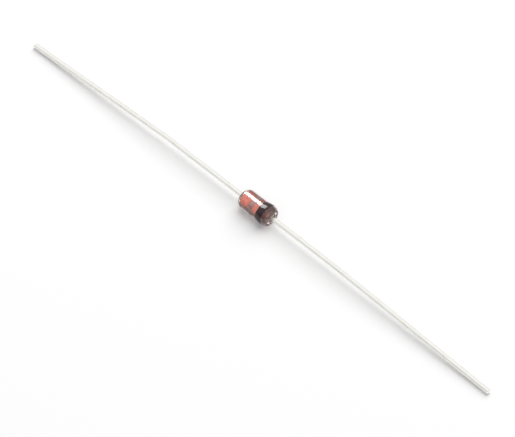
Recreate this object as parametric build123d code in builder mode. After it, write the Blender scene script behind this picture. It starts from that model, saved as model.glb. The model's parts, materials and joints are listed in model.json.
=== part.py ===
from build123d import *

import math
import os

# Two-terminal trigger semiconductor in an axial glass package, in millimetres.
# X runs along the package. Its near end, at +X, is the end with the printed band, and its
# far end is at -X. Z is up, and the origin lies on the surface that the package rests on,
# under the middle of the glass. The printed band and the tips of both leads touch it.

# Glass sleeve, fused to the studs
glass_diameter = 1.85
glass_length = 3.65
flare_height = 0.08  # the glass widens a little towards its near end, all round
flare_length = 0.85  # from where it starts to widen to its widest, at the band's near edge
far_shoulder_length = 0.55  # fire-polished rounding of the far end, along the package
rim_width = 0.02  # flat ring left at each end between the rounding and the lip
bore_lip_radius = 0.06  # melted lip round the mouth of the bore

# Copper-clad studs
stud_diameter = 0.90
near_stud_recess = 0.45  # from each end of the glass in to the stud's outer face
far_stud_recess = 0.30
stud_edge_break = 0.02  # cut edge round the stud's outer face

# Chip and its contact bumps, stacked along X between the studs
stack_offset = -0.35  # middle of the chip from the middle of the glass
die_thickness = 0.24
mesa_height = 0.05  # each face of the chip is etched down round its mesa
mesa_margin = 0.03  # from the bump's edge to the mesa's edge
mesa_bevel = 0.04  # width of the sloping side of each mesa
moat_width = 0.02  # etched floor from the slope's foot to the chip's edge
bump_diameter = 0.30  # on the mesa
bump_flat_diameter = 0.20  # where the stud presses the bump flat
bump_height = 0.05
cavity_clearance = 0.04  # the glass stands off the studs and the chip's corners by this

# Printed band, up to where the rounding of the near end starts
band_from_end = 0.60  # from the near end of the glass to the band
band_width = 0.74
band_thickness = 0.015

# Leads, butt-welded to the studs and bent a little so that their tips touch the surface
lead_diameter = 0.50
lead_reach = 26.0  # beyond the glass
near_side_offset = 0.10  # each tip lies this far to the -Y side of the package's axis
far_side_offset = 0.34
lead_tip_chamfer = 0.06
weld_diameter = 0.66
weld_length = 0.42
weld_crest = 0.13  # from the stud to the fullest part of the weld
near_bend_start = 7.5  # corner of each bend, beyond the glass
near_bend_radius = 160.0
far_bend_start = 9.6
far_bend_radius = 22.0

# Worked out from the sizes above
glass_radius = glass_diameter / 2
glass_end = glass_length / 2
stud_radius = stud_diameter / 2
rim_radius = stud_radius + bore_lip_radius + rim_width
flare_radius = glass_radius + flare_height
lead_radius = lead_diameter / 2
stack_half = die_thickness / 2 + bump_height
mesa_side = bump_diameter + 2 * mesa_margin
mesa_foot_side = mesa_side + 2 * mesa_bevel
die_side = mesa_foot_side + 2 * moat_width
die_corner_radius = die_side / math.sqrt(2)
cavity_radius = max(stud_radius, die_corner_radius) + cavity_clearance
band_end = glass_end - band_from_end
axis_height = flare_radius + band_thickness

# Local x of the profile plane runs along the package and local y is the distance from its axis.
package_axis = Axis((0, 0, axis_height), (1, 0, 0))
profile_plane = Plane(origin=(0, 0, axis_height), x_dir=(1, 0, 0), z_dir=(0, -1, 0))


def across(x):
    """Plane square to the package's axis, at x, facing +X."""
    return Plane(origin=(x, 0, axis_height), x_dir=(0, 1, 0), z_dir=(1, 0, 0))


def outside(raised_by):
    """Half section of all that the glass encloses, with its outside raised."""
    far_shoulder = (far_shoulder_length - glass_end, glass_radius + raised_by)
    flare_foot = (band_end - flare_length, glass_radius + raised_by)
    flare_crown = (band_end, flare_radius + raised_by)
    with BuildSketch() as section:
        with BuildLine():
            near_rim = (glass_end, rim_radius + raised_by)
            far_rim = (-glass_end, rim_radius + raised_by)
            Polyline(near_rim, (glass_end, 0), (-glass_end, 0), far_rim)
            centre = (far_shoulder[0], rim_radius + raised_by)
            depth = glass_radius - rim_radius
            EllipticalCenterArc(centre, far_shoulder_length, depth, start_angle=90, arc_size=90)
            Line(far_shoulder, flare_foot)
            Spline(flare_foot, flare_crown, tangents=((1, 0), (1, 0)))
            centre = (band_end, rim_radius + raised_by)
            depth = flare_radius - rim_radius
            EllipticalCenterArc(centre, band_from_end, depth, start_angle=0, arc_size=90)
        make_face()
    return section.sketch


def save(piece, name):
    """Label the piece in a finished builder and write its STEP file."""
    piece.part.label = name
    export_step(piece.part, f"parts/{name}.step")


os.makedirs("parts", exist_ok=True)

# Glass sleeve: a thick tube with rounded ends, swollen a little round the chip.
with BuildPart() as glass_sleeve:
    with BuildSketch(profile_plane) as sleeve_wall:
        add(outside(0))
        with Locations((0, stud_radius / 2)):
            Rectangle(glass_length, stud_radius, mode=Mode.SUBTRACT)
        fillet(sleeve_wall.vertices().group_by(Axis.Y)[0], bore_lip_radius)
        cavity_depth = cavity_radius - stud_radius
        cavity_fillet = min(cavity_depth, stack_half) / 2
        with Locations((stack_offset, stud_radius)):
            RectangleRounded(2 * stack_half, 2 * cavity_depth, cavity_fillet, mode=Mode.SUBTRACT)
    revolve(axis=package_axis)
save(glass_sleeve, "glass_sleeve")

# Printed band: a thin ring of ink that follows the outside of the glass.
with BuildPart() as marking_band:
    with BuildSketch(profile_plane):
        add(outside(band_thickness))
        add(outside(0), mode=Mode.SUBTRACT)
        with Locations((band_end - band_width / 2, 0)):
            Rectangle(band_width, 2 * axis_height, mode=Mode.INTERSECT)
    revolve(axis=package_axis)
save(marking_band, "marking_band")

# Chip: a square slice with a bevelled mesa on each face.
with BuildPart() as diac_die:
    core_half = die_thickness / 2 - mesa_height
    with BuildSketch(across(stack_offset)):
        Rectangle(die_side, die_side)
    extrude(amount=core_half, both=True)
    for side in (1, -1):
        with BuildSketch(across(stack_offset + side * core_half)):
            Rectangle(mesa_foot_side, mesa_foot_side)
        with BuildSketch(across(stack_offset + side * die_thickness / 2)):
            Rectangle(mesa_side, mesa_side)
        loft()
save(diac_die, "diac_die")

for end, side, stud_recess in (("near", 1, near_stud_recess), ("far", -1, far_stud_recess)):
    mesa_face = stack_offset + side * die_thickness / 2
    stud_inner = stack_offset + side * stack_half
    stud_outer = side * (glass_end - stud_recess)

    # Contact bump: a plated dome, pressed flat by the stud.
    with BuildPart() as contact_bump:
        with BuildSketch(profile_plane):
            with BuildLine():
                crown = (mesa_face + side * bump_height, bump_flat_diameter / 2)
                rim = (mesa_face, bump_diameter / 2)
                Polyline(crown, (crown[0], 0), (rim[0], 0), rim)
                RadiusArc(rim, crown, side * bump_diameter / 2)
            make_face()
        revolve(axis=package_axis)
    save(contact_bump, f"{end}_contact_bump")

    # Stud: a round slug from the bump out to the recess in the end of the glass.
    with BuildPart() as stud:
        with BuildSketch(across(stud_inner)):
            Circle(stud_radius)
        extrude(amount=stud_outer - stud_inner)
        outer_edge = stud.edges().sort_by(Axis((0, 0, 0), (side, 0, 0)))[-1]
        chamfer(outer_edge, stud_edge_break)
    save(stud, f"{end}_stud")

# Each lead runs straight out of its stud, then bends down and aside to its tip. Both bends
# lie in planes through the package's axis, tilted so that the tips end up beside it.
tip_drop = axis_height - lead_radius
bends = (
    ("near", 1, near_stud_recess, near_bend_start, near_bend_radius, near_side_offset),
    ("far", -1, far_stud_recess, far_bend_start, far_bend_radius, far_side_offset),
)
for end, side, stud_recess, bend_start, bend_radius, side_offset in bends:
    root = glass_end - stud_recess
    bend_offset = math.hypot(tip_drop, side_offset)
    normal = (0, -side * tip_drop, side * side_offset)
    bend_plane = Plane(origin=(0, 0, axis_height), x_dir=(side, 0, 0), z_dir=normal)
    with BuildPart() as lead:
        with BuildLine(bend_plane) as route:
            FilletPolyline(
                (root, 0),
                (glass_end + bend_start, 0),
                (glass_end + lead_reach, -bend_offset),
                radius=bend_radius,
            )
        with BuildSketch(across(side * root)):
            Circle(lead_radius)
        sweep(path=route.line)
        tip_edge = lead.edges().sort_by(Axis((0, 0, 0), (side, 0, 0)))[-1]
        chamfer(tip_edge, lead_tip_chamfer)
        with BuildSketch(bend_plane):
            with BuildLine():
                weld_end = (root + weld_length, lead_radius)
                weld_start = (root, (lead_radius + weld_diameter / 2) / 2)
                Polyline(weld_end, (weld_end[0], 0), (root, 0), weld_start)
                ThreePointArc(weld_start, (root + weld_crest, weld_diameter / 2), weld_end)
            make_face()
        revolve(axis=package_axis)
    save(lead, f"{end}_lead")
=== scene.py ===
import json
import logging
import math
from dataclasses import dataclass, field
from enum import Enum
from typing import Any, ClassVar, Mapping, Optional, Sequence, Union

import bmesh
import bpy
from bpy.types import Material, Object
from mathutils import Matrix, Vector


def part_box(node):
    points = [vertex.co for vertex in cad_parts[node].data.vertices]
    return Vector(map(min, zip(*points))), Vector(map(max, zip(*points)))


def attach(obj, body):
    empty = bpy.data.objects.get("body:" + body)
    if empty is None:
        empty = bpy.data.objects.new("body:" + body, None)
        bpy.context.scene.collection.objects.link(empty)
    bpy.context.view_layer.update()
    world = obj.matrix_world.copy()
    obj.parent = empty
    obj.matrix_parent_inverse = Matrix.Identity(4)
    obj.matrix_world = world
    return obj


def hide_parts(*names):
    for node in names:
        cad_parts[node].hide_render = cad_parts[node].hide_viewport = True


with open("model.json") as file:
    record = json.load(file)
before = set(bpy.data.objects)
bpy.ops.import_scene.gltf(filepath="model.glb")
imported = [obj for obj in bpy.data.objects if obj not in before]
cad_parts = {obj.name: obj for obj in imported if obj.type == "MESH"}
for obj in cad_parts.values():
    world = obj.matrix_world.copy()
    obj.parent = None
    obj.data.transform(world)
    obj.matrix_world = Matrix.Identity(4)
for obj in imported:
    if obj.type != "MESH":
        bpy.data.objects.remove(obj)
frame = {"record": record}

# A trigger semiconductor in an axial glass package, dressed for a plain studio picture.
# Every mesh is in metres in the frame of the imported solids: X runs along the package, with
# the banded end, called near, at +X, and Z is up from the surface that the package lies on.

log = logging.getLogger("scene")

MM = 0.001
ROOT_BODY = "root"
SMALLEST_STEP = 2e-5 * MM
SHARP_DEGREES = 30.0

Point = tuple[float, float]
Direction = tuple[float, float, float]
Colour = tuple[float, float, float]
Shade = tuple[float, float, float, float]
Stops = Sequence[tuple[float, Colour]]
Value = Union["Signal", float, Sequence[float]]

WHITE: Shade = (1.0, 1.0, 1.0, 1.0)
MOST_NOISE: Point = (0.3, 0.7)
NOISE_MIDDLE = 0.5


class End(Enum):
    """The two ends of the package, with the sign of X that each lies towards."""

    NEAR = 1
    FAR = -1

    @property
    def word(self) -> str:
        """The end's name as the solids have it."""
        return self.name.lower()

    @property
    def side(self) -> int:
        """The sign of X at this end."""
        return self.value

    def of(self, pair: Point) -> float:
        """This end's number of two, the far end's and the near end's."""
        return pair[1] if self is End.NEAR else pair[0]


BEND_RADII = {End.NEAR: 160.0 * MM, End.FAR: 22.0 * MM}


@dataclass(frozen=True)
class Signal:
    """A value that travels between nodes. Arithmetic on it adds Math nodes."""

    graph: "Graph"
    socket: bpy.types.NodeSocket

    def work(self, operation: str, other: Value = 0.0) -> "Signal":
        """The result of a Math node on this value and another."""
        return self.graph.add("ShaderNodeMath", {0: self, 1: other}, operation=operation).out()

    def __add__(self, other: Value) -> "Signal":
        """self + other"""
        return self.work("ADD", other)

    def __sub__(self, other: Value) -> "Signal":
        """self - other"""
        return self.work("SUBTRACT", other)

    def __rsub__(self, other: Value) -> "Signal":
        """other - self"""
        return self.graph.add("ShaderNodeMath", {0: other, 1: self}, operation="SUBTRACT").out()

    def __mul__(self, other: Value) -> "Signal":
        """self * other"""
        return self.work("MULTIPLY", other)

    def __truediv__(self, other: Value) -> "Signal":
        """self / other"""
        return self.work("DIVIDE", other)

    def __mod__(self, other: Value) -> "Signal":
        """self modulo other, never negative"""
        return self.work("FLOORED_MODULO", other)

    def larger(self, other: Value) -> "Signal":
        """The larger of the two values."""
        return self.work("MAXIMUM", other)

    def ramp(
        self, low: Value, high: Value, start: float = 0.0, stop: float = 1.0, smooth: bool = True
    ) -> "Signal":
        """Maps low..high to start..stop, and holds both outside them.

        Args:
            low: the value that gives start.
            high: the value that gives stop.
            start: the result at low.
            stop: the result at high.
            smooth: whether the result eases in and out.

        Returns:
            The mapped value.
        """
        shape = "SMOOTHSTEP" if smooth else "LINEAR"
        places = {0: self, 1: low, 2: high, 3: start, 4: stop}
        return self.graph.add("ShaderNodeMapRange", places, interpolation_type=shape).out()


@dataclass(frozen=True)
class Added:
    """A node that a graph has just added."""

    graph: "Graph"
    node: bpy.types.Node

    def out(self, name: Union[str, int] = 0) -> Signal:
        """One of the node's outputs, by name or number."""
        return Signal(self.graph, self.node.outputs[name])


class Graph:
    """Adds nodes to a shader tree or a geometry tree."""

    def __init__(self, tree: bpy.types.NodeTree) -> None:
        """Starts on an existing tree."""
        self.tree = tree

    def add(
        self,
        kind: str,
        inputs: Optional[Mapping[Union[str, int], Value]] = None,
        **settings: Any,
    ) -> Added:
        """Adds a node, sets it up and fills its sockets.

        Args:
            kind: the node's type.
            inputs: a value or a Signal for each socket, by name or number.
            **settings: the node's own properties, or the stops of a colour ramp, set first.

        Returns:
            The node that was added.
        """
        node = self.tree.nodes.new(kind)
        for name, value in settings.items():
            if name == "stops":
                self._set_stops(node.color_ramp, value)
            else:
                setattr(node, name, value)
        for name, value in (inputs or {}).items():
            if isinstance(value, Signal):
                self.tree.links.new(value.socket, node.inputs[name])
            else:
                node.inputs[name].default_value = value
        return Added(self, node)

    @staticmethod
    def _set_stops(ramp: bpy.types.ColorRamp, stops: Stops) -> None:
        """Gives a colour ramp its stops.

        Args:
            ramp: the colour ramp.
            stops: a place and a colour for each.
        """
        while len(ramp.elements) < len(stops):
            ramp.elements.new(1.0)
        for element, (place, colour) in zip(ramp.elements, stops):
            element.position = place
            element.color = (*colour, 1.0)

    def vector(self, operation: str, left: Value, right: Value) -> Signal:
        """The result of one Vector Math node."""
        return self.add("ShaderNodeVectorMath", {0: left, 1: right}, operation=operation).out()

    def scaled(self, vector: Signal, factor: Value) -> Signal:
        """The vector times a number."""
        places = {0: vector, "Scale": factor}
        return self.add("ShaderNodeVectorMath", places, operation="SCALE").out()

    def along(self, axis: str, vector: Signal) -> Signal:
        """A vector's share along X, Y or Z."""
        return self.add("ShaderNodeSeparateXYZ", {0: vector}).out(axis)

    def mixed(self, factor: Value, first: Signal, second: Signal) -> Signal:
        """The first shader where the factor is 0, and the second where it is 1."""
        return self.add("ShaderNodeMixShader", {0: factor, 1: first, 2: second}).out()

    def seen_directly(self) -> Signal:
        """Tells what the camera sees, also mirrored or through glass, from what light meets.

        Returns:
            1 where the camera sees a point, and 0 for light.
        """
        path = self.add("ShaderNodeLightPath")
        bent = path.out("Is Glossy Ray").larger(path.out("Is Transmission Ray"))
        scattered = path.out("Diffuse Depth").ramp(0.0, 1.0, smooth=False)
        return path.out("Is Camera Ray").larger(bent * (1.0 - scattered))


class Surface(Graph):
    """The shader graph of one new material, on Object coordinates in millimetres."""

    def __init__(self, name: str) -> None:
        """Makes an empty material.

        Args:
            name: its name.
        """
        self.material = bpy.data.materials.new(name)
        self.material.use_nodes = True
        super().__init__(self.material.node_tree)
        self.tree.nodes.clear()
        coordinates = self.add("ShaderNodeTexCoord").out("Object")
        self.place = self.scaled(coordinates, 1 / MM)

    def stretched(self, along: float, across: float) -> Signal:
        """The place in millimetres, multiplied along the package and across it."""
        return self.vector("MULTIPLY", self.place, (along, across, across))

    def from_axis(self, axis_height: float) -> Signal:
        """The place in millimetres, measured from the package's axis."""
        return self.vector("SUBTRACT", self.place, (0.0, 0.0, axis_height / MM))

    def slant(self) -> Signal:
        """0 where a ray meets the surface square on, and near 1 where it only grazes it."""
        return self.add("ShaderNodeLayerWeight", {"Blend": 0.5}).out("Facing")

    def noise(self, vector: Signal, scale: float, detail: float, roughness: float = 0.5) -> Signal:
        """Noise from about 0 to 1 at a vector.

        Args:
            vector: where the noise is read.
            scale: its waves for each unit of the vector.
            detail: how many finer layers are added.
            roughness: how strong the finer layers are.

        Returns:
            The noise's value.
        """
        values = {"Vector": vector, "Scale": scale, "Detail": detail, "Roughness": roughness}
        return self.add("ShaderNodeTexNoise", values).out("Fac")

    def colours(self, factor: Signal, stops: Stops) -> Signal:
        """A colour ramp's colour at a factor."""
        return self.add("ShaderNodeValToRGB", {"Fac": factor}, stops=stops).out("Color")

    def tones(self, factor: Signal, first: Colour, second: Colour, low: float, high: float) -> Signal:
        """A colour that runs from the first, where the factor is low, to the second."""
        return self.colours(factor, ((low, first), (high, second)))

    def blend(self, factor: Signal, first: Signal, second: Colour) -> Signal:
        """The first colour where the factor is 0, and the second where it is 1."""
        values = {0: factor, 6: first, 7: (*second, 1.0)}
        return self.add("ShaderNodeMix", values, data_type="RGBA").out(2)

    def bump(self, height: Signal, depth: float, strength: float = 1.0) -> Signal:
        """The normal that a height makes, with depth as the real height of 1, in metres."""
        values = {"Height": height, "Distance": depth, "Strength": strength}
        return self.add("ShaderNodeBump", values).out("Normal")

    def principled(self, values: Mapping[str, Value]) -> Signal:
        """A Principled shader with those sockets filled."""
        return self.add("ShaderNodeBsdfPrincipled", values).out("BSDF")

    def clear(self, colour: Colour) -> Signal:
        """A shader that light passes straight, dyed by the colour."""
        return self.add("ShaderNodeBsdfTransparent", {"Color": (*colour, 1.0)}).out()

    def show(self, shader: Signal) -> Material:
        """Puts the shader on the material's output and returns the material."""
        self.add("ShaderNodeOutputMaterial", {"Surface": shader})
        return self.material


@dataclass(frozen=True)
class GlassFinish:
    """Clear leaded glass with a fire-polished skin, filmed pale pink round the chip by the sealing
    heat, with painted shade on the film where it is seen at a slant.
    """

    axis_height: float
    chip_space: Point
    tint: Colour = (0.97, 0.94, 0.925)
    ior: float = 1.86
    roughness: Point = (0.015, 0.03)
    smears: Point = (0.3, 0.8)  # the noise, from smoothest to roughest
    waviness: float = 0.0012 * MM
    shadow_middle: Colour = (0.30, 0.27, 0.27)
    shadow_side: Colour = (0.08, 0.06, 0.065)
    shadow_leaving: Colour = (0.95, 0.92, 0.91)
    shadow_slant: Point = (0.15, 0.6)  # from the middle's shadow to the side's
    empty_end: Point = (1.2, 1.5)  # along the package, past the near stud
    film_pale: Colour = (0.97, 0.58, 0.54)
    # the painted shade of the film where it is seen at a slant
    film_dark: Colour = (0.34, 0.17, 0.14)
    film_radius: Point = (0.58, 0.54)  # from clear to filmed, towards the axis
    film_edge: float = 0.02
    film_slant: Point = (0.03, 0.28)  # from pale to the painted shade
    film_share: Point = (0.75, 0.97)  # how much it hides, pale and dark
    film_roughness: float = 0.5

    def with_film(self, surface: Surface, glass: Signal) -> Signal:
        """Adds a film on the wall of the chip's space, which hides more and is painted darker where it
        is seen at a slant, a painted shade.

        Args:
            surface: the material's graph.
            glass: the shader of the clear glass.

        Returns:
            The shader of the glass with its film.
        """
        start, end = (x / MM for x in self.chip_space)
        x = surface.along("X", surface.place)
        outward = surface.from_axis(self.axis_height)
        across = surface.vector("MULTIPLY", outward, (0.0, 1.0, 1.0))
        radius = surface.add("ShaderNodeVectorMath", {0: across}, operation="LENGTH").out("Value")
        after_start = x.ramp(start - self.film_edge, start)
        before_end = x.ramp(end + self.film_edge, end)
        inside = after_start * before_end * radius.ramp(*self.film_radius)
        # the film is painted darker where it is seen at a slant, a painted shade
        film_slant_shade = surface.slant().ramp(*self.film_slant)
        colour = surface.tones(film_slant_shade, self.film_pale, self.film_dark, low=0.0, high=1.0)
        film = surface.principled({"Base Color": colour, "Roughness": self.film_roughness})
        return surface.mixed(inside * film_slant_shade.ramp(0.0, 1.0, *self.film_share), glass, film)

    def material(self) -> Material:
        """Builds the material.

        Returns:
            The new material.
        """
        surface = Surface("clear_glass")
        waves = surface.noise(surface.stretched(along=0.7, across=1.0), scale=3.0, detail=1.5)
        smears = surface.noise(surface.place, scale=5.0, detail=3.0)
        glass = surface.principled({
            "Base Color": (*self.tint, 1.0),
            "Roughness": smears.ramp(*self.smears, *self.roughness),
            "IOR": self.ior,
            "Transmission Weight": 1.0,
            "Normal": surface.bump(waves, self.waviness),
        })
        filmed = self.with_film(surface, glass)
        middle, side = surface.clear(self.shadow_middle), surface.clear(self.shadow_side)
        entering = surface.mixed(surface.slant().ramp(*self.shadow_slant), middle, side)
        leaving = surface.clear(self.shadow_leaving)
        past_stud = surface.along("X", surface.place).ramp(*self.empty_end)
        leaves = surface.add("ShaderNodeNewGeometry").out("Backfacing")
        shadow = surface.mixed(leaves.larger(past_stud), entering, leaving)
        casts = surface.add("ShaderNodeLightPath").out("Is Shadow Ray")
        return surface.show(surface.mixed(casts, filmed, shadow))


@dataclass(frozen=True)
class CopperFinish:
    """Red oxidised copper under fused glass, darker towards the far end and the chip, with the band's
    painted shadow towards the near end and painted shade where it is seen at a slant.
    """

    dark: Colour = (0.52, 0.115, 0.075)
    middle: Colour = (0.85, 0.215, 0.15)
    bright: Colour = (0.95, 0.34, 0.25)
    # painted shade where the stud is seen at a slant
    slanting: Colour = (0.34, 0.06, 0.035)
    # darker towards the far end and the chip; towards the near end it is the band's painted shadow
    scorched: Colour = (0.46, 0.12, 0.08)
    tone_places: tuple[float, float, float] = (0.36, 0.49, 0.62)
    blotch_share: float = 0.6
    near_scorch: Point = (0.85, 1.25)  # along the package, from unshaded to the band's painted shadow
    far_scorch: Point = (-1.30, -1.60)
    far_share: float = 0.75
    chip_middle: float = -0.35
    chip_scorch: Point = (0.42, 0.17)  # from the chip's middle, clean and darkest
    chip_share: float = 0.6
    scorch_wander: float = 0.35
    slant: Point = (0.05, 0.45)
    roughness: Point = (0.272, 0.425)

    def material(self) -> Material:
        """Builds the material.

        Returns:
            The new material.
        """
        surface = Surface("copper_clad")
        blotches = surface.noise(surface.place, scale=3.2, detail=4.0, roughness=0.6)
        drawn = surface.stretched(along=0.6, across=9.0)
        lines = surface.noise(drawn, scale=2.2, detail=3.0, roughness=0.6)
        mottle = blotches * self.blotch_share + lines * (1.0 - self.blotch_share)
        tones = zip(self.tone_places, (self.dark, self.middle, self.bright))
        skin = surface.colours(mottle, tuple(tones))
        x = surface.along("X", surface.place) + (blotches - NOISE_MIDDLE) * self.scorch_wander
        near = x.ramp(*self.near_scorch)
        far = x.ramp(*self.far_scorch, 0.0, self.far_share)
        from_chip = (x - self.chip_middle).larger(self.chip_middle - x)
        chip = from_chip.ramp(*self.chip_scorch, 0.0, self.chip_share)
        # the band's painted shadow towards the near end, and a darker colour towards the far end and
        # the chip
        scorched = surface.blend(near.larger(far).larger(chip), skin, self.scorched)
        metal = surface.principled({
            # painted shade: darker where the stud is seen at a slant
            "Base Color": surface.blend(surface.slant().ramp(*self.slant), scorched, self.slanting),
            "Metallic": 1.0,
            "Roughness": lines.ramp(*MOST_NOISE, *self.roughness),
            "Normal": surface.bump(lines, depth=0.003 * MM, strength=0.5),
        })
        return surface.show(metal)


@dataclass(frozen=True)
class InkFinish:
    """Baked black marking ink, browner where it is thin, with pale red painted light on its inner face
    where it meets the glass.
    """

    axis_height: float
    colour: Colour = (0.022, 0.005, 0.006)
    thin: Colour = (0.050, 0.013, 0.015)
    # painted light: the pale colour of the inner face, seen through the glass, stands in for the bright
    # glint there
    underside: Colour = (0.90, 0.62, 0.56)
    underside_turn: Point = (0.1, -0.1)  # from facing outwards to facing the glass
    roughness: Point = (0.096, 0.168)
    specular: float = 0.42

    def material(self) -> Material:
        """Builds the material.

        Returns:
            The new material.
        """
        surface = Surface("black_ink")
        grain = surface.noise(surface.place, scale=22.0, detail=3.0)
        clouds = surface.noise(surface.place, scale=3.0, detail=2.0)
        black = surface.tones(clouds, self.colour, self.thin, low=0.35, high=0.75)
        normal = surface.add("ShaderNodeNewGeometry").out("Normal")
        agreeing = surface.vector("MULTIPLY", surface.from_axis(self.axis_height), normal)
        facing = surface.along("Y", agreeing) + surface.along("Z", agreeing)
        ink = surface.principled({
            # the inner face that meets the glass gets the painted light colour
            "Base Color": surface.blend(facing.ramp(*self.underside_turn), black, self.underside),
            "Roughness": clouds.ramp(*MOST_NOISE, *self.roughness),
            "Specular IOR Level": self.specular,
            "Normal": surface.bump(grain, depth=0.0015 * MM, strength=0.4),
        })
        return surface.show(ink)


@dataclass(frozen=True)
class TinFinish:
    """Bright tin on a drawn wire, with faint lines along it and a soft mottle."""

    pale: Colour = (0.965, 0.955, 0.91)
    grey: Colour = (0.92, 0.91, 0.86)
    mottle_height: float = 0.5
    roughness: Point = (0.256, 0.4)

    def material(self) -> Material:
        """Builds the material.

        Returns:
            The new material.
        """
        surface = Surface("tinned_wire")
        lines = surface.noise(surface.stretched(along=0.12, across=10.0), scale=2.0, detail=2.0)
        mottle = surface.noise(surface.stretched(along=0.5, across=1.5), scale=2.0, detail=2.0)
        height = lines + mottle * self.mottle_height
        tin = surface.principled({
            "Base Color": surface.tones(mottle, self.grey, self.pale, low=0.35, high=0.6),
            "Metallic": 1.0,
            "Roughness": mottle.ramp(*MOST_NOISE, *self.roughness),
            "Normal": surface.bump(height, depth=0.0015 * MM, strength=0.4),
        })
        return surface.show(tin)


@dataclass(frozen=True)
class GrainyFinish:
    """A material whose colour, gloss and surface all follow one fine grain."""

    name: str
    grain_scale: float
    dark: Colour
    light: Colour
    light_at: float
    roughness: Point
    bump_depth: float
    bump_strength: float
    dark_at: float = 0.35
    metallic: float = 1.0

    def material(self) -> Material:
        """Builds the material.

        Returns:
            The new material.
        """
        surface = Surface(self.name)
        grain = surface.noise(surface.place, self.grain_scale, detail=3.0)
        skin = surface.principled({
            "Base Color": surface.tones(grain, self.dark, self.light, self.dark_at, self.light_at),
            "Metallic": self.metallic,
            "Roughness": grain.ramp(*MOST_NOISE, *self.roughness),
            "Normal": surface.bump(grain, self.bump_depth, self.bump_strength),
        })
        return surface.show(skin)


# Etched silicon, reddish through its oxide
SILICON = GrainyFinish(
    "silicon", grain_scale=14.0, dark=(0.70, 0.36, 0.35), light=(0.95, 0.56, 0.54), light_at=0.7,
    roughness=(0.25, 0.4), bump_depth=0.002 * MM, bump_strength=0.5, metallic=0.6,
)

# Plated silver, a little grainy
SILVER = GrainyFinish(
    "silver", grain_scale=24.0, dark=(0.66, 0.63, 0.58), light=(0.90, 0.88, 0.84), light_at=0.65,
    roughness=(0.3, 0.45), bump_depth=0.003 * MM, bump_strength=0.6,
)


def add_object(name: str, data: bpy.types.ID) -> Object:
    """Puts a new object in the scene, at the origin.

    Args:
        name: the object's name.
        data: its mesh, lamp or camera.

    Returns:
        The object.
    """
    added = bpy.data.objects.new(name, data)
    bpy.context.scene.collection.objects.link(added)
    return added


class GeometryRecipe:
    """A geometry tree with named inputs, which is applied to an object as a plain mesh."""

    title: ClassVar[str] = ""
    counts: ClassVar[tuple[str, ...]] = ()
    measures: ClassVar[tuple[str, ...]] = ()
    rippling: ClassVar[tuple[str, ...]] = ("Ripple", "Ripples per mm", "Seed")
    ripple_detail: ClassVar[float] = 1.0

    def __init__(self) -> None:
        """Builds the tree with its named inputs."""
        self.tree = bpy.data.node_groups.new(self.title, "GeometryNodeTree")
        face = self.tree.interface
        face.new_socket("Geometry", in_out="INPUT", socket_type="NodeSocketGeometry")
        face.new_socket("Geometry", in_out="OUTPUT", socket_type="NodeSocketGeometry")
        kinds = {"Material": "Material"}
        kinds.update(dict.fromkeys(self.counts, "Int"))
        kinds.update(dict.fromkeys(self.measures + self.rippling, "Float"))
        for name, kind in kinds.items():
            face.new_socket(name, in_out="INPUT", socket_type=f"NodeSocket{kind}")
        self.graph = Graph(self.tree)
        self.given = self.graph.add("NodeGroupInput")
        smooth = self.graph.add("GeometryNodeSetShadeSmooth", {"Geometry": self.build()}).out()
        finish = {"Geometry": smooth, "Material": self.given.out("Material")}
        dressed = self.graph.add("GeometryNodeSetMaterial", finish).out()
        real = self.graph.add("GeometryNodeRealizeInstances", {"Geometry": dressed}).out()
        self.graph.add("NodeGroupOutput", {0: real})

    def build(self) -> Signal:
        """Adds the nodes between the inputs and the finished geometry."""
        raise NotImplementedError

    def ripple(self, geometry: Signal) -> Signal:
        """Moves a surface in and out along its normal by a seeded noise.

        Args:
            geometry: the smooth surface.

        Returns:
            The rippled surface.
        """
        graph = self.graph
        place = graph.add("GeometryNodeInputPosition").out()
        values = {
            "Vector": graph.scaled(place, 1 / MM),
            "W": self.given.out("Seed"),
            "Scale": self.given.out("Ripples per mm"),
            "Detail": self.ripple_detail,
        }
        noise = graph.add("ShaderNodeTexNoise", values, noise_dimensions="4D").out("Fac")
        height = (noise - NOISE_MIDDLE) / NOISE_MIDDLE * self.given.out("Ripple")
        offset = graph.scaled(graph.add("GeometryNodeInputNormal").out(), height)
        moving = {"Geometry": geometry, "Offset": offset}
        return graph.add("GeometryNodeSetPosition", moving).out()

    def apply(self, points: Sequence[Vector], name: str, values: Mapping[str, Any]) -> Object:
        """Runs the tree on a line of points and keeps the result as a plain mesh.

        Args:
            points: the line that the tree starts from.
            name: the new object's name.
            values: a value for each named input.

        Returns:
            The new object, at the origin, with no modifier.
        """
        start = bpy.data.meshes.new(f"{name}_line")
        spans = [(i, i + 1) for i in range(len(points) - 1)]
        start.from_pydata([tuple(point) for point in points], spans, [])
        piece = add_object(name, start)
        modifier = piece.modifiers.new(self.title, "NODES")
        modifier.node_group = self.tree
        for socket in self.tree.interface.items_tree:
            if socket.in_out == "INPUT" and socket.name in values:
                modifier[socket.identifier] = values[socket.name]
        evaluated = piece.evaluated_get(bpy.context.evaluated_depsgraph_get())
        mesh = bpy.data.meshes.new_from_object(evaluated)
        piece.modifiers.remove(modifier)
        piece.data = mesh
        mesh.name = name
        bpy.data.meshes.remove(start)
        return piece


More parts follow.
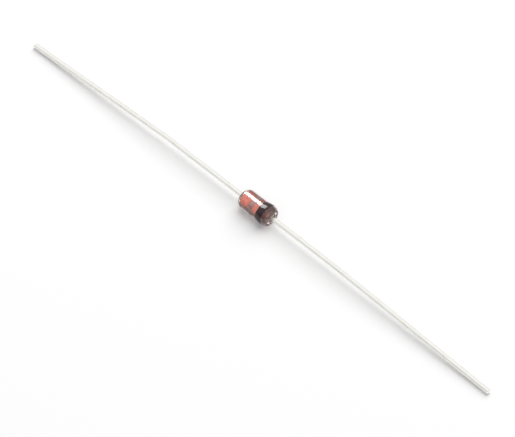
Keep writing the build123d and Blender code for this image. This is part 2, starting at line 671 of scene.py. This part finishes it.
class TurnedForm(GeometryRecipe):
    """Turns a profile round the package's axis.

    The profile's X is the place along the package and its Y is the distance from the axis.
    """

    title = "turned_form"
    counts = ("Steps",)
    measures = ("First angle", "Axis height")
    half_place: ClassVar[float] = 0.5

    def build(self) -> Signal:
        """Bends a grid, as many rows as the profile has points, round the axis.

        Returns:
            The turned surface.
        """
        graph, given = self.graph, self.given
        profile, steps = given.out("Geometry"), given.out("Steps")
        size = graph.add("GeometryNodeAttributeDomainSize", {"Geometry": profile})
        rows = size.out("Point Count")
        counts = {"Vertices X": steps + 1, "Vertices Y": rows}
        grid = graph.add("GeometryNodeMeshGrid", counts).out("Mesh")
        index = graph.add("GeometryNodeInputIndex").out()
        place = graph.add("GeometryNodeInputPosition").out()
        places = {"Geometry": profile, "Value": place, "Index": index % rows}
        sampler = graph.add("GeometryNodeSampleIndex", places, data_type="FLOAT_VECTOR", clamp=True)
        sample = sampler.out()
        column = ((index + self.half_place) / rows).work("FLOOR")
        turn = column / steps * math.tau + given.out("First angle")
        radius = graph.along("Y", sample)
        height = radius * turn.work("SINE") + given.out("Axis height")
        around = {"X": graph.along("X", sample), "Y": radius * turn.work("COSINE"), "Z": height}
        position = graph.add("ShaderNodeCombineXYZ", around).out()
        bending = {"Geometry": grid, "Position": position}
        bent = graph.add("GeometryNodeSetPosition", bending).out()
        merging = {"Geometry": bent, "Distance": SMALLEST_STEP}
        return self.ripple(graph.add("GeometryNodeMergeByDistance", merging).out())


class WeldedWire(GeometryRecipe):
    """Runs a round wire along a bent route, from its weld to its chamfered tip."""

    title = "welded_wire"
    counts = ("Rings", "Sides")
    measures = ("Bend radius", "Wire radius", "Weld radius", "Weld crest", "Weld length", "Tip chamfer")
    bend_points: ClassVar[int] = 24
    weld_foot: ClassVar[float] = 0.45

    def build(self) -> Signal:
        """Rounds the route's corner and sweeps a circle whose size follows the distance run.

        Returns:
            The wire's surface.
        """
        graph, given = self.graph, self.given
        line = graph.add("GeometryNodeMeshToCurve", {"Mesh": given.out("Geometry")}).out()
        rounding = {"Curve": line, "Radius": given.out("Bend radius"), "Count": self.bend_points}
        bent = graph.add("GeometryNodeFilletCurve", rounding, mode="POLY").out()
        rings = {"Curve": bent, "Count": given.out("Rings")}
        even = graph.add("GeometryNodeResampleCurve", rings).out()
        run = graph.add("GeometryNodeSplineParameter").out("Length")
        whole = graph.add("GeometryNodeCurveLength", {"Curve": even}).out()
        wire, weld = given.out("Wire radius"), given.out("Weld radius")
        crest, chamfer = given.out("Weld crest"), given.out("Tip chamfer")
        rise = run.ramp(0.0, crest, self.weld_foot, 1.0)
        fall = run.ramp(crest, given.out("Weld length"), 1.0, 0.0)
        cut = (whole - run).ramp(0.0, chamfer, 1.0, 0.0, smooth=False) * chamfer
        radius = wire + (weld - wire) * rise * fall - cut
        circle = {"Resolution": given.out("Sides"), "Radius": 1.0}
        round_profile = graph.add("GeometryNodeCurvePrimitiveCircle", circle).out()
        sweep = {"Curve": even, "Profile Curve": round_profile, "Scale": radius, "Fill Caps": True}
        return self.ripple(graph.add("GeometryNodeCurveToMesh", sweep).out())


def arc(centre: Point, reach: Point, first: float, last: float, steps: int) -> list[Point]:
    """Points along a circular or elliptical arc.

    Args:
        centre: the arc's centre.
        reach: how far the whole ellipse reaches from it along each axis.
        first: the angle of the first point, in degrees.
        last: the angle of the last point, in degrees.
        steps: how many spans the arc is divided into.

    Returns:
        The points, both ends among them.
    """
    angles = [math.radians(first + (last - first) * i / steps) for i in range(steps + 1)]
    return [(centre[0] + reach[0] * math.cos(a), centre[1] + reach[1] * math.sin(a)) for a in angles]


def close_up(piece: Object, sharp_degrees: float = SHARP_DEGREES) -> None:
    """Turns the faces of a closed mesh outwards and keeps its sharp edges crisp.

    Args:
        piece: the piece with that mesh.
        sharp_degrees: edges that turn by more than this stay crisp.
    """
    work = bmesh.new()
    work.from_mesh(piece.data)
    bmesh.ops.dissolve_degenerate(work, edges=work.edges, dist=SMALLEST_STEP)
    bmesh.ops.recalc_face_normals(work, faces=work.faces)
    open_edges = sum(1 for edge in work.edges if not edge.is_manifold)
    work.to_mesh(piece.data)
    work.free()
    piece.data.set_sharp_from_angle(angle=math.radians(sharp_degrees))
    if open_edges:
        log.warning("%s has %d open edges", piece.name, open_edges)


def hand_over(piece: Object, node: str) -> None:
    """Makes a finished piece stand for its solid and reports it.

    Args:
        piece: the piece.
        node: the solid's name.
    """
    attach(piece, ROOT_BODY)
    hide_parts(node)
    piece.data.calc_loop_triangles()
    log.info("%s stands for %s, %d triangles", piece.name, node, len(piece.data.loop_triangles))


def span(corners: Sequence[Vector]) -> Point:
    """Where a box starts and ends along the package."""
    return corners[0].x, corners[1].x


@dataclass
class PackageSizes:
    """Stations along the package, read from the solids, and the sizes across it."""

    glass_radius: float = 0.925 * MM
    flare_height: float = 0.08 * MM
    flare_start: float = 0.375 * MM
    flare_crown: float = 1.0 * MM
    shoulder_power: float = 2.3
    stud_radius: float = 0.45 * MM
    rim_radius: float = 0.53 * MM
    wire_radius: float = 0.25 * MM
    ink_thickness: float = 0.015 * MM
    axis_height: float = field(init=False)
    glass_end: float = field(init=False)
    band: Point = field(init=False)
    die: Point = field(init=False)
    stack: Point = field(init=False)
    faces: Point = field(init=False)

    def __post_init__(self) -> None:
        """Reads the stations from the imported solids."""
        self.axis_height = self.glass_radius + self.flare_height + self.ink_thickness
        self.glass_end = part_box("glass_sleeve")[1].x
        self.band, self.die = span(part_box("marking_band")), span(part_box("diac_die"))
        stack_end, near_face = span(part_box("near_stud"))
        far_face, stack_start = span(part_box("far_stud"))
        self.stack, self.faces = (stack_start, stack_end), (far_face, near_face)

    def skin(self, x: float) -> float:
        """The glass's outside radius at a place short of the far shoulder.

        Args:
            x: the place along the package.

        Returns:
            The radius, which grows towards the crown of the flare and falls to the near rim.
        """
        rise = min(max((x - self.flare_start) / (self.flare_crown - self.flare_start), 0.0), 1.0)
        crown = self.glass_radius + self.flare_height * rise * rise * (3.0 - 2.0 * rise)
        fall = min(max((x - self.flare_crown) / (self.glass_end - self.flare_crown), 0.0), 1.0)
        height = (1.0 - fall**self.shoulder_power) ** (1.0 / self.shoulder_power)
        return self.rim_radius + (crown - self.rim_radius) * height


@dataclass
class Turner:
    """Turns profiles of this package into closed pieces."""

    sizes: PackageSizes
    ripples_per_mm: float = 1.4
    form: TurnedForm = field(default_factory=TurnedForm)

    def turn(
        self,
        name: str,
        profile: Sequence[Point],
        material: Material,
        closed: bool = False,
        steps: int = 128,
        first_angle: float = 0.0,
        ripple: float = 0.0,
        seed: float = 1.0,
        sharp_degrees: float = SHARP_DEGREES,
    ) -> Object:
        """Turns a profile into a closed piece.

        Args:
            name: the piece's name.
            profile: its outline, as places along the package and distances from its axis.
            material: the piece's material.
            closed: whether the outline is a ring that stays clear of the axis.
            steps: how many flats there are round the axis.
            first_angle: where the first edge of the flats lies, in radians.
            ripple: how far the surface wanders in and out, in metres.
            seed: the seed of that wandering.
            sharp_degrees: edges that turn by more than this stay crisp.

        Returns:
            The new piece.
        """
        line = [Vector((x, radius, 0.0)) for x, radius in profile]
        if closed:
            line.append(line[0])
        values = {
            "Steps": steps,
            "First angle": first_angle,
            "Axis height": self.sizes.axis_height,
            "Ripple": ripple,
            "Ripples per mm": self.ripples_per_mm,
            "Seed": seed,
            "Material": material,
        }
        piece = self.form.apply(line, name, values)
        close_up(piece, sharp_degrees)
        return piece


@dataclass
class Envelope:
    """The glass sleeve, fused to the studs, and the band that is printed on it."""

    sizes: PackageSizes
    turner: Turner
    far_shoulder: float = 0.55 * MM
    lip_radius: float = 0.06 * MM
    cavity_clearance: float = 0.04 * MM
    cavity_fillet: float = 0.02 * MM
    fused_depth: float = 0.01 * MM
    seat_depths: int = 3
    glass_ripple: float = 0.0025 * MM
    glass_seed: float = 3.0
    glass_sharp_degrees: float = 60.0
    ink_ripple: float = 0.001 * MM
    ink_seed: float = 8.0
    ink_sink: float = 0.004 * MM
    ink_feather: float = 0.03 * MM
    ink_shoulder: Point = (0.4, 0.7)
    band_steps: int = 24
    shoulder_steps: int = 24
    lip_steps: int = 8
    fillet_steps: int = 4

    def near_outside(self) -> list[Point]:
        """Draws the glass from the foot of its flare to its near rim.

        Returns:
            The outline's points.
        """
        s, spans = self.sizes, self.shoulder_steps
        flare = [s.flare_start + (s.flare_crown - s.flare_start) * i / spans for i in range(spans)]
        turns = [math.sin(math.pi / 2 * i / spans) ** (2 / s.shoulder_power) for i in range(spans + 1)]
        shoulder = [s.flare_crown + (s.glass_end - s.flare_crown) * turn for turn in turns]
        return [(x, s.skin(x)) for x in flare + shoulder]

    def far_outside(self) -> list[Point]:
        """Draws the far shoulder of the glass, mirrored in the package's middle.

        Returns:
            The outline's points.
        """
        s, length = self.sizes, self.far_shoulder
        reach = (length, s.glass_radius - s.rim_radius)
        return arc((s.glass_end - length, s.rim_radius), reach, 90, 0, self.shoulder_steps)

    def end_profile(self, end: End) -> list[Point]:
        """Draws the glass round one end, from its outside to where the bore meets the stud.

        Args:
            end: which end.

        Returns:
            The outline's points.
        """
        s, side = self.sizes, end.side
        outside = self.near_outside() if end is End.NEAR else self.far_outside()
        middle = (s.glass_end - self.lip_radius, s.stud_radius + self.lip_radius)
        lip = arc(middle, (self.lip_radius, self.lip_radius), 0, -90, self.lip_steps)
        seat = side * end.of(s.faces) - self.seat_depths * self.fused_depth
        inward = [(seat, s.stud_radius), (seat, s.stud_radius - self.fused_depth)]
        return [(side * x, radius) for x, radius in outside + lip + inward]

    def cavity_profile(self) -> list[Point]:
        """Draws the sealed space round the chip, from its near end to its far end.

        Returns:
            The outline's points.
        """
        s, fillet, fused = self.sizes, self.cavity_fillet, self.fused_depth
        far, near = s.stack
        crown = s.stud_radius + self.cavity_clearance - fillet
        inner, rim = s.stud_radius - fused, s.stud_radius + fused
        right = arc((near - fillet, crown), (fillet, fillet), 0, 90, self.fillet_steps)
        left = arc((far + fillet, crown), (fillet, fillet), 90, 180, self.fillet_steps)
        entry = [(near + fused, inner), (near + fused, rim), (near, rim)]
        leave = [(far, rim), (far - fused, rim), (far - fused, inner)]
        return entry + right + left + leave

    def make_glass(self, material: Material) -> Object:
        """Builds the sleeve and hands it over.

        Args:
            material: the glass.

        Returns:
            The sleeve.
        """
        far = self.end_profile(End.FAR)
        outline = self.end_profile(End.NEAR) + self.cavity_profile() + far[::-1]
        glass = self.turner.turn(
            "glass_envelope", outline, material, closed=True, ripple=self.glass_ripple,
            seed=self.glass_seed, sharp_degrees=self.glass_sharp_degrees,
        )
        hand_over(glass, "glass_sleeve")
        return glass

    def make_band(self, material: Material) -> Object:
        """Builds the printed ring and hands it over.

        Args:
            material: the ink.

        Returns:
            The ring.
        """
        s, feather, full = self.sizes, self.ink_feather, self.sizes.ink_thickness
        inward, upward = self.ink_shoulder
        edge = [(0.0, 0.0), (inward * feather, upward * full), (feather, full)]
        start, end = s.band
        width = end - start
        inner_width = width - 2 * feather
        stations = [feather + inner_width * i / self.band_steps for i in range(1, self.band_steps)]
        middle = [(x, full) for x in stations]
        above = edge + middle + [(width - x, height) for x, height in edge[::-1]]
        below = [(x, -self.ink_sink) for x, _ in above[::-1]]
        outline = [(start + x, s.skin(start + x) + height) for x, height in above + below]
        band = self.turner.turn(
            "ink_band", outline, material, closed=True, ripple=self.ink_ripple, seed=self.ink_seed
        )
        hand_over(band, "marking_band")
        return band


@dataclass
class Junction:
    """The chip between its two contact bumps."""

    sizes: PackageSizes
    turner: Turner
    mesa_height: float = 0.05 * MM
    mesa_side: float = 0.36 * MM
    foot_side: float = 0.44 * MM
    die_side: float = 0.48 * MM
    die_sides: int = 4
    bump_radius: float = 0.15 * MM
    flat_radius: float = 0.10 * MM
    bump_steps: int = 8
    bump_sides: int = 48

    def make_die(self, material: Material) -> None:
        """Builds the chip, square across, with a mesa on each face, and hands it over.

        Args:
            material: the silicon.
        """
        start, end = self.sizes.die
        moat = start + self.mesa_height
        half = [(start, 0.0), (start, self.mesa_side), (moat, self.foot_side), (moat, self.die_side)]
        mirrored = [(start + end - x, side) for x, side in half[::-1]]
        outline = [(x, side / math.sqrt(2)) for x, side in half + mirrored]
        square = {"steps": self.die_sides, "first_angle": math.pi / self.die_sides}
        die = self.turner.turn("silicon_chip", outline, material, **square)
        hand_over(die, "diac_die")

    def make_bump(self, end: End, material: Material) -> None:
        """Builds the domed bump on one face of the chip and hands it over.

        Args:
            end: the face's end.
            material: the silver.
        """
        base, top = end.of(self.sizes.die), end.of(self.sizes.stack)
        curve = []
        for i in range(self.bump_steps + 1):
            share = math.sin(math.pi / 2 * i / self.bump_steps)
            drawn_in = (self.bump_radius - self.flat_radius) * (1 - math.sqrt(1 - share**2))
            curve.append((base + (top - base) * share, self.bump_radius - drawn_in))
        outline = [(base, 0.0)] + curve + [(top, 0.0)]
        bump = self.turner.turn(f"{end.word}_bump", outline, material, steps=self.bump_sides)
        hand_over(bump, f"{end.word}_contact_bump")


@dataclass
class Terminal:
    """One end of the package: the stud in the glass and the lead that is welded to it."""

    end: End
    bend_radius: float
    sizes: PackageSizes
    turner: Turner
    wire: WeldedWire
    edge_break: float = 0.02 * MM
    weld_radius: float = 0.33 * MM
    weld_crest: float = 0.13 * MM
    weld_length: float = 0.42 * MM
    tip_chamfer: float = 0.06 * MM
    ring_spacing: float = 0.06 * MM
    wire_sides: int = 48
    wire_ripple: float = 0.002 * MM
    ripples_per_mm: float = 0.9
    wire_seed: float = 11.0

    def make_stud(self, material: Material) -> None:
        """Builds the stud and hands it over.

        Args:
            material: the copper.
        """
        s, side, cut = self.sizes, self.end.side, self.edge_break
        inner, outer = self.end.of(s.stack), self.end.of(s.faces)
        broken = [(outer, s.stud_radius - cut), (outer - side * cut, s.stud_radius)]
        outline = [(outer, 0.0), *broken, (inner, s.stud_radius), (inner, 0.0)]
        stud = self.turner.turn(f"{self.end.word}_slug", outline, material)
        hand_over(stud, f"{self.end.word}_stud")

    def route(self) -> list[Vector]:
        """Finds the lead's route from its straight run, which the record has as a mount.

        Returns:
            The lead's root, corner and tip.
        """
        name = f"{self.end.word}_lead_pin"
        mount = next(m for m in frame["record"]["mounts"] if m["name"] == name)
        middle, along = Vector(mount["pos_m"]), Vector(mount["axis"]).normalized()
        corner = middle + along * ((self.sizes.axis_height - middle.z) / along.z)
        corner.y = 0.0
        tip = middle + along * (mount["dims"]["length_mm"] * MM / 2 + self.tip_chamfer)
        root = Vector((self.end.of(self.sizes.faces), 0.0, self.sizes.axis_height))
        return [root, corner, tip]

    def make_lead(self, material: Material) -> None:
        """Builds the lead and hands it over.

        Args:
            material: the tin.
        """
        points = self.route()
        length = sum((b - a).length for a, b in zip(points, points[1:]))
        values = {
            "Bend radius": self.bend_radius,
            "Wire radius": self.sizes.wire_radius,
            "Weld radius": self.weld_radius,
            "Weld crest": self.weld_crest,
            "Weld length": self.weld_length,
            "Tip chamfer": self.tip_chamfer,
            "Rings": round(length / self.ring_spacing),
            "Sides": self.wire_sides,
            "Ripple": self.wire_ripple,
            "Ripples per mm": self.ripples_per_mm,
            "Seed": self.wire_seed + self.end.side,
            "Material": material,
        }
        lead = self.wire.apply(points, f"{self.end.word}_wire", values)
        close_up(lead)
        hand_over(lead, f"{self.end.word}_lead")


def placed(right: Vector, up: Vector, back: Vector, place: Vector) -> Matrix:
    """The matrix of an object with those axes at that place."""
    return Matrix.Translation(place) @ Matrix((right, up, back)).transposed().to_4x4()


@dataclass(frozen=True)
class Softbox:
    """A flat lamp that faces the package, with its length as near to X as it can be."""

    name: str
    toward: Direction
    length: float
    width: float
    glow: float
    distance: float = 0.6

    def hang(self, target: Vector) -> Object:
        """Adds the lamp to the scene.

        Args:
            target: the place that it faces.

        Returns:
            The lamp. Its face is as bright as a white sheet in full light times its glow.
        """
        data = bpy.data.lights.new(self.name, "AREA")
        data.shape = "RECTANGLE"
        data.size, data.size_y = self.length, self.width
        data.energy = self.glow * math.pi * self.length * self.width
        lamp = add_object(self.name, data)
        back = Vector(self.toward).normalized()
        x_axis = Vector((1.0, 0.0, 0.0))
        right = (x_axis - back * x_axis.dot(back)).normalized()
        lamp.matrix_world = placed(right, back.cross(right), back, target + back * self.distance)
        return lamp


@dataclass
class Studio:
    """The pale floor, the white surround, the lamps and the camera of the picture."""

    sizes: PackageSizes
    floor_half: float = 2.0
    floor_albedo: float = 0.93
    floor_lift: float = 0.19
    ambient: float = 0.30
    front_level: float = 0.55
    front_range: Point = (0.5, 0.95)
    low_level: float = 0.25
    low_range: Point = (0.3, 0.0)
    key: Softbox = Softbox("key", toward=(-0.16, 0.51, 0.83), length=0.50, width=0.80, glow=2.75)
    strip: Softbox = Softbox("strip", toward=(-0.66, 0.293, 0.691), length=0.416, width=0.38, glow=10.5)
    picture_width: int = 515
    picture_height: int = 437
    azimuth: float = 44.0
    elevation: float = 53.0
    distance: float = 0.45
    pixels_per_mm: float = 11.3
    body_pixel: Point = (257.9, 207.5)
    sensor: float = 36.0
    clip_start: float = 0.01

    def body(self) -> Vector:
        """The middle of the glass."""
        return Vector((0.0, 0.0, self.sizes.axis_height))

    def make_world(self) -> None:
        """Makes the room white to the camera, dimmer low and in front when mirrored, soft as light."""
        world = bpy.data.worlds.new("surround")
        world.use_nodes = True
        bpy.context.scene.world = world
        world.node_tree.nodes.clear()
        graph = Graph(world.node_tree)
        levels = (self.ambient, 1.0, self.front_level, self.low_level)
        glows = [{"Color": WHITE, "Strength": level} for level in levels]
        shades = [graph.add("ShaderNodeBackground", glow).out() for glow in glows]
        light, white, front, low = shades
        direction = graph.add("ShaderNodeTexCoord").out("Generated")
        path = graph.add("ShaderNodeLightPath")
        through_glass = path.out("Transmission Depth").ramp(0.0, 1.0, smooth=False)
        mirrored = 1.0 - path.out("Is Camera Ray").larger(through_glass)
        forward = (graph.along("Y", direction) * -1.0).ramp(*self.front_range)
        downward = graph.along("Z", direction).ramp(*self.low_range)
        room = graph.mixed(downward, graph.mixed(forward, white, front), low)
        seen = graph.mixed(mirrored, white, room)
        shown = graph.mixed(graph.seen_directly(), light, seen)
        graph.add("ShaderNodeOutputWorld", {"Surface": shown})

    def make_floor(self) -> None:
        """Lays a wide plane, lifted to white where the camera sees it, that keeps its shadows."""
        surface = Surface("pale_floor")
        shade = (self.floor_albedo,) * 3
        matt = surface.add("ShaderNodeBsdfDiffuse", {"Color": (*shade, 1.0)}).out()
        lift = {"Color": WHITE, "Strength": self.floor_lift}
        glow = surface.add("ShaderNodeEmission", lift).out()
        lifted = surface.add("ShaderNodeAddShader", {0: matt, 1: glow}).out()
        half = self.floor_half
        corners = [(-half, -half, 0.0), (half, -half, 0.0), (half, half, 0.0), (-half, half, 0.0)]
        mesh = bpy.data.meshes.new("floor")
        mesh.from_pydata(corners, [], [(0, 1, 2, 3)])
        mesh.materials.append(surface.show(surface.mixed(surface.seen_directly(), matt, lifted)))
        floor = add_object("floor", mesh)

    def make_lamps(self, shiny: Sequence[Object]) -> None:
        """Hangs the key light, and a bright strip that only shows as a highlight.

        Args:
            shiny: the pieces that the strip shows on.
        """
        key = self.key.hang(self.body())
        key.visible_glossy = False
        key.visible_transmission = False
        strip = self.strip.hang(self.body())
        strip.visible_diffuse = False
        strip.visible_transmission = False
        strip.data.cycles.max_bounces = 0
        receivers = bpy.data.collections.new("shiny_skin")
        for piece in shiny:
            receivers.objects.link(piece)
        strip.light_linking.receiver_collection = receivers

    def make_camera(self) -> None:
        """Places the camera where the photograph was taken from."""
        turn, tilt = math.radians(self.azimuth), math.radians(self.elevation)
        level = math.cos(tilt)
        back = Vector((math.sin(turn) * level, -math.cos(turn) * level, math.sin(tilt)))
        right = Vector((math.cos(turn), math.sin(turn), 0.0))
        up = back.cross(right)
        scale = self.pixels_per_mm / MM
        across = (self.body_pixel[0] - self.picture_width / 2) / scale
        above = (self.picture_height / 2 - self.body_pixel[1]) / scale
        aim = self.body() - right * across - up * above
        data = bpy.data.cameras.new("camera")
        data.sensor_fit = "HORIZONTAL"
        data.sensor_width = self.sensor
        data.lens = self.sensor * self.distance * scale / self.picture_width
        data.clip_start = self.clip_start
        camera = add_object("camera", data)
        camera.matrix_world = placed(right, up, back, aim + back * self.distance)
        bpy.context.scene.camera = camera


def main() -> None:
    """Dresses the package, lights it and aims the camera."""
    logging.basicConfig(level=logging.INFO, format="%(name)s: %(message)s")
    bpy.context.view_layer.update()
    bpy.context.scene.view_settings.view_transform = "Standard"
    sizes = PackageSizes()
    turner = Turner(sizes)
    envelope = Envelope(sizes, turner)
    glass = envelope.make_glass(GlassFinish(sizes.axis_height, sizes.stack).material())
    band = envelope.make_band(InkFinish(sizes.axis_height).material())
    junction = Junction(sizes, turner)
    junction.make_die(SILICON.material())
    silver = SILVER.material()
    for end in End:
        junction.make_bump(end, silver)
    copper, tin, wire = CopperFinish().material(), TinFinish().material(), WeldedWire()
    for end, bend_radius in BEND_RADII.items():
        terminal = Terminal(end, bend_radius, sizes, turner, wire)
        terminal.make_stud(copper)
        terminal.make_lead(tin)
    studio = Studio(sizes)
    studio.make_camera()
    studio.make_world()
    studio.make_floor()
    studio.make_lamps((glass, band))


if __name__ == "__main__":
    main()
